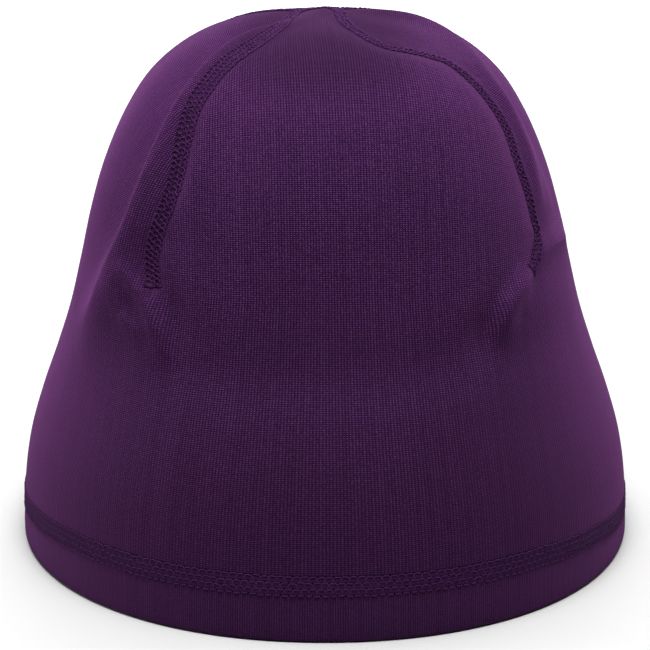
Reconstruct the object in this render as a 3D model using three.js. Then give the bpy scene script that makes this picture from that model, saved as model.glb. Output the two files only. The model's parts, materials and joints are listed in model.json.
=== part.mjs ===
// A four-dart jersey beanie standing on its hem, modelled in millimetres with +Z up.
// The front of the hat faces -Y. The origin is on the ground, under the middle of the hat.
// Azimuths are in degrees round +Z: 0 is the front, 90 the right side (+X), 180 the back.
// A climb is a share of the way up the cloth, from 0 at the lower edge to 1 at the top point.

import * as THREE from "three";

// Driving sizes
const hatWidth = 179;
const hatDepth = 201.6;
const hatHeight = 150.8;
const clothThickness = 1.2;
const hemThickness = 2.5;
const hemHeight = 13.8;
const hemEdgeRadius = 0.8;
const hemSeamGap = 0.3;
const foldHeight = 6;
const foldSpread = 10;
const dartDepth = 0.9;
const dartSpread = 5;

// Fineness of the meshes
const crownRows = 31;
const petalEdgeCrowding = 0.72;
const foldSteps = 4;
const hemEdgeSteps = 2;

// Names the numbers of each row by its column.
function table(columns, rows) {
  const names = columns.split(" ");
  return rows.map((row) =>
    Object.fromEntries(row.map((value, i) => [names[i], value])),
  );
}

// Outline of the hat at evenly spaced climbs: height as a share of the hat's height, reach of
// the side as a share of half its width, reach of the front and back as shares of half its depth.
// A squareness of 2 is an ellipse, and more makes flatter sides with tighter corners. The setback
// is how far a section's middle lies behind the hat's, as a share of its half depth.
const sections = table("height side front back squareness setback", [
  [0.0, 1.0, 1.0, 1.0, 2.07, 0.0],
  [0.095, 0.997, 0.985, 0.972, 2.09, 0.0],
  [0.187, 0.975, 0.961, 0.938, 2.15, 0.0],
  [0.273, 0.933, 0.926, 0.901, 2.25, 0.0],
  [0.36, 0.88, 0.874, 0.86, 2.4, 0.0],
  [0.452, 0.829, 0.816, 0.822, 2.6, 0.0],
  [0.547, 0.789, 0.776, 0.789, 2.8, 0.0],
  [0.64, 0.754, 0.74, 0.757, 2.8, 0.0],
  [0.727, 0.711, 0.7, 0.717, 2.8, 0.0],
  [0.808, 0.652, 0.648, 0.658, 2.75, 0.005],
  [0.881, 0.571, 0.583, 0.573, 2.65, 0.015],
  [0.939, 0.454, 0.494, 0.446, 2.45, 0.03],
  [0.975, 0.314, 0.387, 0.29, 2.3, 0.055],
  [0.993, 0.152, 0.255, 0.105, 2.1, 0.085],
  [1.0, 0.0, 0.0, 0.0, 2.0, 0.12],
]);

// Height of the hem's seam round the hat, as a share of the hem's height: it dips at the sides,
// where the doubled edge rolls under.
const hemLine = table("azimuth height", [
  [-180, 1.0],
  [-135, 0.94],
  [-100, 0.78],
  [-83, 0.76],
  [-67, 0.94],
  [-50, 1.09],
  [0, 1.09],
  [40, 1.09],
  [57, 0.94],
  [68, 0.79],
  [90, 0.66],
  [135, 0.86],
  [180, 1.0],
]);

// The four dart seams, from their lower ends up to the top point.
const darts = {
  frontLeft: table("climb azimuth", [
    [0.455, -36.8],
    [0.5, -38],
    [0.6, -35.6],
    [0.7, -37],
    [0.77, -36.9],
    [0.83, -36.3],
    [0.87, -38],
    [0.91, -44],
    [0.93, -54],
    [0.945, -72],
    [0.955, -96],
    [0.968, -116],
    [1.0, -126],
  ]),
  frontRight: table("climb azimuth", [
    [0.465, 46.8],
    [0.483, 49.8],
    [0.507, 52.8],
    [0.53, 52.7],
    [0.56, 52.8],
    [0.62, 53.1],
    [0.66, 54.7],
    [0.7, 55],
    [0.765, 55.4],
    [0.794, 54.4],
    [0.811, 51],
    [0.829, 46.5],
    [0.843, 41],
    [0.856, 35.5],
    [0.88, 33],
    [0.913, 33.5],
    [0.941, 33],
    [0.96, 44],
    [0.972, 70],
    [0.985, 104],
    [1.0, 128],
  ]),
  backRight: table("climb azimuth", [
    [0.46, 135],
    [1.0, 135],
  ]),
  backLeft: table("climb azimuth", [
    [0.46, 230],
    [1.0, 230],
  ]),
};

// Folds and dents of the cloth. A rise is a share of the tallest fold's height, and negative in a
// dent. The spreads before and after, towards smaller and larger azimuths, are shares of the
// widest fold's spread.
const foldColumns = "climb azimuth rise before after";
const folds = [
  // The pleat that stands beside the front left dart, and the hollow behind it
  table(foldColumns, [
    [0.33, -60, 0.03, 1.2, 1.2],
    [0.4, -53, 0.4, 0.5, 1.0],
    [0.46, -48, 0.75, 0.4, 0.9],
    [0.53, -43.7, 0.92, 0.36, 0.8],
    [0.6, -41.8, 0.95, 0.34, 0.7],
    [0.67, -41, 0.94, 0.34, 0.6],
    [0.74, -41, 0.9, 0.34, 0.55],
    [0.81, -42.5, 0.75, 0.36, 0.55],
    [0.87, -46.5, 0.5, 0.38, 0.5],
    [0.93, -53, 0.2, 0.38, 0.5],
    [1.0, -60, 0.0, 0.38, 0.5],
  ]),
  table(foldColumns, [
    [0.38, -68, 0.0, 1.4, 0.7],
    [0.45, -61, -0.33, 1.4, 0.6],
    [0.53, -54, -0.67, 1.4, 0.5],
    [0.6, -51.5, -0.8, 1.4, 0.5],
    [0.7, -51, -0.83, 1.3, 0.5],
    [0.8, -54, -0.8, 1.2, 0.5],
    [0.87, -60, -0.53, 1.0, 0.5],
    [0.95, -70, -0.08, 0.8, 0.5],
  ]),
  // The dip that the front right dart lies in near the top, and the hollow behind it
  table(foldColumns, [
    [0.77, 50, -0.02, 0.8, 0.5],
    [0.82, 45, -0.06, 0.8, 0.5],
    [0.87, 36, -0.08, 0.7, 0.5],
    [0.92, 34, -0.05, 0.7, 0.45],
    [0.97, 46, 0.0, 0.7, 0.5],
  ]),
  table(foldColumns, [
    [0.78, 62, 0.0, 0.5, 0.8],
    [0.82, 58, -0.14, 0.5, 0.8],
    [0.86, 51, -0.18, 0.5, 0.8],
    [0.9, 48, -0.12, 0.5, 0.8],
    [0.95, 52, 0.0, 0.5, 0.8],
  ]),
  // The roll behind the front right dart, and the low ridge beside the front left one
  table(foldColumns, [
    [0.53, 56, 0.0, 0.3, 0.4],
    [0.57, 56.5, 0.2, 0.3, 0.45],
    [0.62, 58, 0.3, 0.3, 0.5],
    [0.68, 60, 0.32, 0.3, 0.5],
    [0.74, 63, 0.32, 0.35, 0.55],
    [0.77, 70, 0.3, 0.4, 0.55],
    [0.8, 80, 0.28, 0.5, 0.6],
    [0.83, 89, 0.26, 0.5, 0.6],
    [0.86, 97, 0.26, 0.5, 0.6],
    [0.89, 100, 0.24, 0.5, 0.6],
    [0.93, 100, 0.14, 0.5, 0.6],
    [0.96, 100, 0.0, 0.5, 0.5],
  ]),
  table(foldColumns, [
    [0.52, -34, 0.0, 0.3, 0.4],
    [0.56, -32.8, 0.12, 0.3, 0.4],
    [0.62, -31.5, 0.16, 0.3, 0.4],
    [0.68, -32, 0.16, 0.3, 0.4],
    [0.74, -32.5, 0.14, 0.3, 0.4],
    [0.8, -33, 0.08, 0.35, 0.5],
    [0.86, -32, 0.0, 0.4, 0.5],
  ]),
  // Two creases below the end of the front left dart, with their dents
  table(foldColumns, [
    [0.485, -44.5, 0.0, 0.5, 0.3],
    [0.468, -42.5, 0.2, 0.6, 0.3],
    [0.454, -40.5, 0.32, 0.7, 0.3],
    [0.44, -38, 0.38, 0.8, 0.3],
    [0.409, -35.5, 0.34, 0.9, 0.32],
    [0.375, -33.5, 0.18, 0.9, 0.45],
    [0.345, -32, 0.0, 0.9, 0.6],
  ]),
  table(foldColumns, [
    [0.455, -49, 0.0, 0.4, 0.4],
    [0.437, -46, 0.12, 0.4, 0.28],
    [0.409, -42, 0.15, 0.4, 0.26],
    [0.395, -38.5, 0.08, 0.4, 0.28],
    [0.38, -36, 0.0, 0.5, 0.5],
  ]),
  table(foldColumns, [
    [0.455, -34.5, -0.1, 0.4, 0.6],
    [0.43, -32.5, -0.26, 0.4, 0.6],
    [0.402, -30.5, -0.28, 0.45, 0.7],
    [0.364, -27, -0.13, 0.7, 0.8],
    [0.35, -22, -0.02, 1.0, 1.0],
  ]),
  table(foldColumns, [
    [0.445, -43, -0.06, 0.25, 0.25],
    [0.42, -39.5, -0.12, 0.25, 0.25],
    [0.395, -36.3, -0.08, 0.25, 0.25],
    [0.375, -34.5, 0.0, 0.4, 0.4],
  ]),
  // The crease below the end of the front right dart, and the one that runs from there to the side
  table(foldColumns, [
    [0.475, 49, 0.08, 0.3, 0.4],
    [0.466, 46.5, 0.18, 0.28, 0.4],
    [0.452, 42.7, 0.34, 0.28, 0.45],
    [0.43, 38.8, 0.4, 0.28, 0.5],
    [0.407, 37, 0.32, 0.3, 0.6],
    [0.39, 35.5, 0.12, 0.4, 0.7],
    [0.378, 34, 0.0, 0.5, 0.7],
  ]),
  table(foldColumns, [
    [0.45, 39, -0.06, 0.5, 0.3],
    [0.425, 35.8, -0.18, 0.5, 0.3],
    [0.403, 33.6, -0.32, 0.5, 0.3],
    [0.387, 31.5, -0.16, 0.6, 0.4],
    [0.37, 28, 0.0, 0.8, 0.6],
  ]),
  table(foldColumns, [
    [0.476, 50, 0.1, 0.28, 0.28],
    [0.485, 53.5, 0.22, 0.26, 0.26],
    [0.489, 59, 0.28, 0.26, 0.28],
    [0.483, 67, 0.26, 0.3, 0.32],
    [0.477, 75, 0.08, 0.45, 0.45],
    [0.47, 81, 0.0, 0.5, 0.5],
  ]),
  table(foldColumns, [
    [0.5, 57, -0.08, 0.4, 0.4],
    [0.502, 64, -0.15, 0.4, 0.5],
    [0.5, 72, -0.1, 0.5, 0.5],
    [0.49, 80, 0.0, 0.5, 0.5],
  ]),
  // The long shallow dent round the front, and the swell of the cloth below it
  table(foldColumns, [
    [0.352, -33, -0.03, 0.8, 0.8],
    [0.346, -25, -0.12, 0.8, 0.8],
    [0.34, -10, -0.13, 0.9, 0.9],
    [0.343, 3, -0.12, 0.9, 0.9],
    [0.35, 15, -0.12, 0.9, 0.9],
    [0.363, 23.5, -0.14, 0.8, 0.8],
    [0.38, 34, -0.14, 0.7, 0.7],
    [0.374, 46, -0.1, 0.7, 0.7],
    [0.368, 56, -0.04, 0.7, 0.7],
  ]),
  table(foldColumns, [
    [0.31, -30, 0.0, 1.2, 1.2],
    [0.3, -15, 0.04, 1.3, 1.3],
    [0.295, 3, 0.05, 1.3, 1.3],
    [0.305, 20, 0.06, 1.3, 1.3],
    [0.325, 35, 0.08, 1.2, 1.2],
    [0.335, 48, 0.06, 1.0, 1.0],
    [0.34, 58, 0.0, 1.0, 1.0],
  ]),
  // The hollow of the right side
  table(foldColumns, [
    [0.5, 70, -0.03, 0.6, 0.9],
    [0.57, 71, -0.2, 0.55, 0.9],
    [0.64, 73, -0.3, 0.5, 0.9],
    [0.71, 76, -0.22, 0.5, 0.9],
    [0.78, 80, -0.03, 0.6, 0.9],
  ]),
  // Shallow dents below the ends of the two back darts
  table(foldColumns, [
    [0.45, 142, -0.1, 0.7, 0.7],
    [0.4, 146, -0.3, 0.9, 0.9],
    [0.35, 150, -0.1, 1.1, 1.1],
  ]),
  table(foldColumns, [
    [0.45, -137, -0.1, 0.7, 0.7],
    [0.4, -141, -0.3, 0.9, 0.9],
    [0.35, -145, -0.1, 1.1, 1.1],
  ]),
];

// A smooth curve through a table's rows, read at a share of the way from the first to the last.
function smoothRow(rows, share) {
  const last = rows.length - 1;
  const place = THREE.MathUtils.clamp(share, 0, 1) * last;
  const i = Math.min(Math.floor(place), last - 1);
  const w = place - i;
  const near = [-1, 0, 1, 2].map((k) => rows[Math.min(Math.max(i + k, 0), last)]);
  const read = {};
  for (const key of Object.keys(rows[0])) {
    const [p0, p1, p2, p3] = near.map((row) => row[key]);
    const v1 = (p2 - p0) / 2;
    const v2 = (p3 - p1) / 2;
    const cubic = 2 * p1 - 2 * p2 + v1 + v2;
    const square = -3 * p1 + 3 * p2 - 2 * v1 - v2;
    read[key] = ((cubic * w + square) * w + v1) * w + p1;
  }
  return read;
}

// A straight reading between a table's rows, by the value of one of its columns.
function lineAt(rows, by, at, column) {
  const after = rows.findIndex((row) => row[by] >= at);
  if (after === 0) return rows[0][column];
  if (after < 0) return rows[rows.length - 1][column];
  const a = rows[after - 1];
  const b = rows[after];
  return THREE.MathUtils.mapLinear(at, a[by], b[by], a[column], b[column]);
}

// A smooth reading between a table's rows, by the value of one of its columns.
function curveAt(rows, by, at, column) {
  const last = rows.length - 1;
  const place = THREE.MathUtils.clamp(at, rows[0][by], rows[last][by]);
  const i = Math.max(rows.findIndex((row) => row[by] >= place), 1) - 1;
  const slope = (k) => {
    const before = rows[Math.max(k - 1, 0)];
    const after = rows[Math.min(k + 1, last)];
    return (after[column] - before[column]) / (after[by] - before[by]);
  };
  const run = rows[i + 1][by] - rows[i][by];
  const w = (place - rows[i][by]) / run;
  const start = rows[i][column];
  const rise = rows[i + 1][column] - start;
  const lean = slope(i) * run;
  const turn = slope(i + 1) * run;
  return start + lean * w + (3 * rise - 2 * lean - turn) * w ** 2 + (lean + turn - 2 * rise) * w ** 3;
}

// A point of the hat's outline, before folds.
function outlinePoint(azimuth, climb) {
  const section = smoothRow(sections, climb);
  const angle = THREE.MathUtils.degToRad(azimuth);
  const sine = Math.sin(angle);
  const cosine = Math.cos(angle);
  const n = section.squareness;
  const round = (Math.abs(sine) ** n + Math.abs(cosine) ** n) ** (-1 / n);
  const depth = ((cosine > 0 ? section.front : section.back) * hatDepth) / 2;
  const width = (section.side * hatWidth) / 2;
  const middle = (section.setback * hatDepth) / 2;
  return new THREE.Vector3(
    width * round * sine,
    middle - depth * round * cosine,
    section.height * hatHeight,
  );
}

// The direction that faces out of the outline there.
const normalStepDegrees = 0.4;
const normalStepClimb = 0.003;
function outlineNormal(azimuth, climb) {
  const low = Math.max(climb - normalStepClimb, 0);
  const high = Math.min(climb + normalStepClimb, 1);
  const round = outlinePoint(azimuth + normalStepDegrees, climb);
  round.sub(outlinePoint(azimuth - normalStepDegrees, climb));
  const up = outlinePoint(azimuth, high).sub(outlinePoint(azimuth, low));
  const normal = round.cross(up);
  return normal.lengthSq() > 0 ? normal.normalize() : new THREE.Vector3(0, 0, 1);
}

// The grooves that the dart seams pull into the cloth, as folds of their own. They fade out
// near the top point, where the four seams meet.
const grooveFade = 0.1;
const grooves = Object.values(darts).map((rows) =>
  rows.map((row) => ({
    ...row,
    rise: (-dartDepth * Math.min((1 - row.climb) / grooveFade, 1)) / foldHeight,
    before: dartSpread / foldSpread,
    after: dartSpread / foldSpread,
  })),
);

// Each fold as a chain of points on the outline with its height and spreads there.
const foldChains = [...folds, ...grooves].map((rows) => {
  const steps = (rows.length - 1) * foldSteps;
  return Array.from({ length: steps + 1 }, (_, i) => {
    const row = smoothRow(rows, i / steps);
    return { ...row, point: outlinePoint(row.azimuth, row.climb) };
  });
});

// How far the folds lift the cloth at a point of the outline.
function foldLift(point, azimuth) {
  const angle = THREE.MathUtils.degToRad(azimuth);
  const onward = new THREE.Vector3(Math.cos(angle), Math.sin(angle), 0);
  let lift = 0;
  for (const chain of foldChains) {
    let nearest = Infinity;
    let chainLift = 0;
    for (let i = 0; i + 1 < chain.length; i++) {
      const a = chain[i];
      const b = chain[i + 1];
      const run = b.point.clone().sub(a.point);
      const offset = point.clone().sub(a.point);
      const along = THREE.MathUtils.clamp(offset.dot(run) / run.lengthSq(), 0, 1);
      offset.addScaledVector(run, -along);
      const distance = offset.length();
      if (distance >= nearest) continue;
      nearest = distance;
      const ahead = distance > 0 ? (1 + offset.dot(onward) / distance) / 2 : 0;
      const before = THREE.MathUtils.lerp(a.before, b.before, along);
      const after = THREE.MathUtils.lerp(a.after, b.after, along);
      const spread = THREE.MathUtils.lerp(before, after, ahead) * foldSpread;
      const rise = THREE.MathUtils.lerp(a.rise, b.rise, along) * foldHeight;
      chainLift = rise * Math.exp(-((distance / spread) ** 2));
    }
    lift += chainLift;
  }
  return lift;
}

// A point of the folded cloth's outer face.
function clothPoint(azimuth, climb) {
  const point = outlinePoint(azimuth, climb);
  const lift = foldLift(point, azimuth);
  return point.addScaledVector(outlineNormal(azimuth, climb), lift);
}

// The climb at which the outline reaches a height, found by halving.
const halvings = 24;
function climbOfHeight(height) {
  let low = 0;
  let high = 1;
  for (let i = 0; i < halvings; i++) {
    const middle = (low + high) / 2;
    if (smoothRow(sections, middle).height * hatHeight < height) low = middle;
    else high = middle;
  }
  return high;
}

function hemSeamHeight(azimuth) {
  const turned = ((((azimuth + 180) % 360) + 360) % 360) - 180;
  return lineAt(hemLine, "azimuth", turned, "height") * hemHeight;
}

// The four petals between the darts, with the mesh columns that each is given: most where the
// pleat is. Columns run from the hem to the top point along the darts, and crowd beside them.
const petals = [
  { from: darts.frontLeft, to: darts.frontRight, turn: 0, columns: 18 },
  { from: darts.frontRight, to: darts.backRight, turn: 0, columns: 18 },
  { from: darts.backRight, to: darts.backLeft, turn: 0, columns: 14 },
  { from: darts.backLeft, to: darts.frontLeft, turn: 360, columns: 30 },
];
const columns = petals.flatMap((petal) =>
  Array.from({ length: petal.columns }, (_, i) => {
    const share = i / petal.columns;
    const crowding = (petalEdgeCrowding * Math.sin(2 * Math.PI * share)) / (2 * Math.PI);
    return { ...petal, share: share - crowding };
  }),
);
const columnCount = columns.length;
function columnAzimuth(column, climb) {
  const { from, to, turn, share } = columns[column];
  const start = curveAt(from, "climb", climb, "azimuth");
  const end = curveAt(to, "climb", climb, "azimuth") + turn;
  return THREE.MathUtils.lerp(start, end, share);
}

// A closed body from vertices and an index list.
function bodyGeometry(points, faces) {
  const geometry = new THREE.BufferGeometry().setFromPoints(points);
  geometry.setIndex(faces);
  geometry.computeVertexNormals();
  return geometry;
}

// Two triangles for each cell between two rings of vertices, facing out when ring b lies
// above ring a on an outer face.
function stitchRings(faces, a, b, count) {
  for (let i = 0; i < count; i++) {
    const j = (i + 1) % count;
    faces.push(a + i, a + j, b + j, a + i, b + j, b + i);
  }
}

// The crown: one skin outside, one inside, closed by a rim along the hem's seam.
function crownGeometry() {
  const outer = [];
  for (let row = 0; row < crownRows; row++) {
    for (let column = 0; column < columnCount; column++) {
      const low = climbOfHeight(hemSeamHeight(columnAzimuth(column, 0)) + hemSeamGap);
      const climb = THREE.MathUtils.lerp(low, 1, row / crownRows);
      outer.push(clothPoint(columnAzimuth(column, climb), climb));
    }
  }
  outer.push(clothPoint(0, 1));
  const apex = outer.length - 1;
  const skin = [];
  for (let row = 0; row + 1 < crownRows; row++) {
    stitchRings(skin, row * columnCount, (row + 1) * columnCount, columnCount);
  }
  const topRing = (crownRows - 1) * columnCount;
  for (let i = 0; i < columnCount; i++) {
    skin.push(topRing + i, topRing + ((i + 1) % columnCount), apex);
  }
  const normals = bodyGeometry(outer, skin).getAttribute("normal");
  const inner = outer.map((point, i) => {
    const normal = new THREE.Vector3().fromBufferAttribute(normals, i);
    if (i < columnCount) normal.setZ(0).normalize();
    return point.clone().addScaledVector(normal, -clothThickness);
  });
  const shift = outer.length;
  const faces = [...skin];
  for (let i = 0; i < skin.length; i += 3) {
    faces.push(skin[i] + shift, skin[i + 2] + shift, skin[i + 1] + shift);
  }
  stitchRings(faces, shift, 0, columnCount);
  return bodyGeometry([...outer, ...inner], faces);
}

// The hem: a doubled edge with a rolled lower corner on each side of its flat underside.
function hemGeometry() {
  const section = [];
  for (let step = 0; step <= hemEdgeSteps; step++) {
    const angle = (Math.PI / 2) * (step / hemEdgeSteps);
    const inset = hemEdgeRadius * (1 - Math.sin(angle));
    section.push({ inset, above: hemEdgeRadius * (1 - Math.cos(angle)), share: 0 });
  }
  section.push({ inset: 0, above: 0, share: 1 });
  const inside = section.map(({ inset, above, share }) => ({
    inset: hemThickness - inset,
    above,
    share,
  }));
  const profile = [...section, ...inside.reverse()];
  const points = profile.flatMap(({ inset, above, share }) =>
    Array.from({ length: columnCount }, (_, column) => {
      const azimuth = columnAzimuth(column, 0);
      const height = share > 0 ? share * hemSeamHeight(azimuth) : above;
      const climb = climbOfHeight(height);
      const outward = outlineNormal(azimuth, climb).setZ(0).normalize();
      const point = outlinePoint(azimuth, climb).addScaledVector(outward, -inset);
      return point.setZ(height);
    }),
  );
  const faces = [];
  for (let ring = 0; ring < profile.length; ring++) {
    const next = (ring + 1) % profile.length;
    stitchRings(faces, ring * columnCount, next * columnCount, columnCount);
  }
  return bodyGeometry(points, faces);
}

function jersey(color) {
  return new THREE.MeshStandardMaterial({ color, roughness: 0.9, metalness: 0 });
}

const crown = new THREE.Mesh(crownGeometry(), jersey(0x4a2653));
crown.name = "crown";

const hemBand = new THREE.Mesh(hemGeometry(), jersey(0x45224d));
hemBand.name = "hem_band";

const beanie = new THREE.Group();
beanie.add(crown, hemBand);

export default beanie;
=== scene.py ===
"""A purple stretch jersey beanie standing on its hem: knit cloth, flatlock seams and a small studio.

Units are metres. +Z is up, and the front of the hat faces -Y. Azimuths are degrees round +Z: 0 is
the front, 90 the side at +X, 180 the back. A climb is a share of the way up the cloth, from 0 at the
lower edge to 1 at the top point.
"""

import json
import math

import bpy
import numpy as np
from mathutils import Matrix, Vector

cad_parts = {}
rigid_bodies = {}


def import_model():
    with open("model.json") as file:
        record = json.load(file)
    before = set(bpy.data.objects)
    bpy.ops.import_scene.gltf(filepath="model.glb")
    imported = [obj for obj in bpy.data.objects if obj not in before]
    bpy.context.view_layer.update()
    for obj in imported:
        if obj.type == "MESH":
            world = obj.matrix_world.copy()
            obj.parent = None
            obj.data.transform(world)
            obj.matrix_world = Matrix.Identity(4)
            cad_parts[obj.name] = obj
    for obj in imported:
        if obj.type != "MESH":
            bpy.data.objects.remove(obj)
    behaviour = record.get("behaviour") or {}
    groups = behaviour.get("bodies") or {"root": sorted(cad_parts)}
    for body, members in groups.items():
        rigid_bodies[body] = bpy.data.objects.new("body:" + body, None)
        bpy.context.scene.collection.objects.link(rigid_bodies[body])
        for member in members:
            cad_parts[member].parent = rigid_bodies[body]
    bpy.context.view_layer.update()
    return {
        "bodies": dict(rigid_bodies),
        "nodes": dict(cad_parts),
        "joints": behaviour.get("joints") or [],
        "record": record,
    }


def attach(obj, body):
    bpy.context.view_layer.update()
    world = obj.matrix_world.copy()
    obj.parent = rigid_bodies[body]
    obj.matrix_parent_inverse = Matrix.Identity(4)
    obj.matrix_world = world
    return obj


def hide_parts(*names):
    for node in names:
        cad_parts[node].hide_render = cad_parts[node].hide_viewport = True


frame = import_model()

MM = 0.001

# Sizes of the hat
HAT_WIDTH = 179 * MM
HAT_DEPTH = 201.6 * MM
HAT_HEIGHT = 150.8 * MM
CLOTH_THICKNESS = 1.2 * MM
HEM_THICKNESS = 2.5 * MM
HEM_HEIGHT = 13.8 * MM
HEM_ROLL_RADIUS = 1.1 * MM
FOLD_HEIGHT = 6 * MM
FOLD_SPREAD = 10 * MM
DART_DEPTH = 0.9 * MM
DART_SPREAD = 5 * MM

# How many spreads from its line a fold still lifts the cloth, and the line's pieces for each row
FOLD_REACH = 2.6
FOLD_STEPS = 4
# The share of the climb, at the top, over which a dart's groove fades out
GROOVE_FADE = 0.1
HEIGHT_SAMPLES = 2001

# The knit: how far apart its columns of loops and its rows of loops are
WALE_PITCH = 0.76 * MM
COURSE_PITCH = 0.56 * MM
CLOTH_RISE = 200 * MM

# The flatlock seams: width over the needle lines, threads and stitch lengths
HEM_SEAM_WIDTH = 5.0 * MM
DART_SEAM_WIDTH = 3.3 * MM
SEAM_ROWS = 4
THREAD_RADIUS = 0.16 * MM
LOOPER_RADIUS = 0.22 * MM
DART_STITCH = 1.55 * MM
HEM_STITCH = 2.15 * MM

# How places beside a seam's line are found on the cloth: the steps, the change of climb in each and
# the climbs kept to. Directions are read a little below the top point.
PLACE_STEPS = 5
PLACE_CLIMB_CHANGE = 0.001
PLACE_CLIMBS = (0.002, 0.9995)
DIRECTION_CLIMB = 0.997


def table(columns, rows):
    """Rows of numbers as an array, with the place of each named column."""
    return np.array(rows, float), {name: i for i, name in enumerate(columns.split())}


# Outline of the hat at evenly spaced climbs, as shares of its height, half width and half depth.
# A squareness of 2 is an ellipse, and more makes flatter sides with tighter corners. The setback is
# how far a section's middle lies behind the hat's, as a share of its half depth.
SECTIONS, SECTION = table("height side front back squareness setback", [
    (0.0, 1.0, 1.0, 1.0, 2.07, 0.0),
    (0.095, 0.997, 0.985, 0.972, 2.09, 0.0),
    (0.187, 0.975, 0.961, 0.938, 2.15, 0.0),
    (0.273, 0.933, 0.926, 0.901, 2.25, 0.0),
    (0.36, 0.88, 0.874, 0.86, 2.4, 0.0),
    (0.452, 0.829, 0.816, 0.822, 2.6, 0.0),
    (0.547, 0.789, 0.776, 0.789, 2.8, 0.0),
    (0.64, 0.754, 0.74, 0.757, 2.8, 0.0),
    (0.727, 0.711, 0.7, 0.717, 2.8, 0.0),
    (0.808, 0.652, 0.648, 0.658, 2.75, 0.005),
    (0.881, 0.571, 0.583, 0.573, 2.65, 0.015),
    (0.939, 0.454, 0.494, 0.446, 2.45, 0.03),
    (0.975, 0.314, 0.387, 0.29, 2.3, 0.055),
    (0.993, 0.152, 0.255, 0.105, 2.1, 0.085),
    (1.0, 0.0, 0.0, 0.0, 2.0, 0.12),
])

# Height of the hem's seam round the hat, as a share of the hem's height.
HEM_LINE, _ = table("azimuth height", [
    (-180, 1.0),
    (-135, 0.94),
    (-100, 0.78),
    (-83, 0.76),
    (-67, 0.94),
    (-50, 1.09),
    (0, 1.09),
    (40, 1.09),
    (57, 0.94),
    (68, 0.79),
    (90, 0.66),
    (135, 0.86),
    (180, 1.0),
])

# The four dart seams, from their lower ends up to the top point: climb, azimuth.
DARTS = {
    "front_left": [
        (0.455, -36.8), (0.5, -38), (0.6, -35.6), (0.7, -37), (0.77, -36.9), (0.83, -36.3), (0.87, -38),
        (0.91, -44), (0.93, -54), (0.945, -72), (0.955, -96), (0.968, -116), (1, -126),
    ],
    "front_right": [
        (0.465, 46.8), (0.483, 49.8), (0.507, 52.8), (0.53, 52.7), (0.56, 52.8), (0.62, 53.1),
        (0.66, 54.7), (0.7, 55), (0.765, 55.4), (0.794, 54.4), (0.811, 51), (0.829, 46.5), (0.843, 41),
        (0.856, 35.5), (0.88, 33), (0.913, 33.5), (0.941, 33), (0.96, 44), (0.972, 70), (0.985, 104),
        (1, 128),
    ],
    "back_right": [(0.46, 135), (1.0, 135)],
    "back_left": [(0.46, 230), (1.0, 230)],
}
DARTS = {name: np.array(rows, float) for name, rows in DARTS.items()}
BACK_SEAM_AZIMUTH = 230

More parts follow.
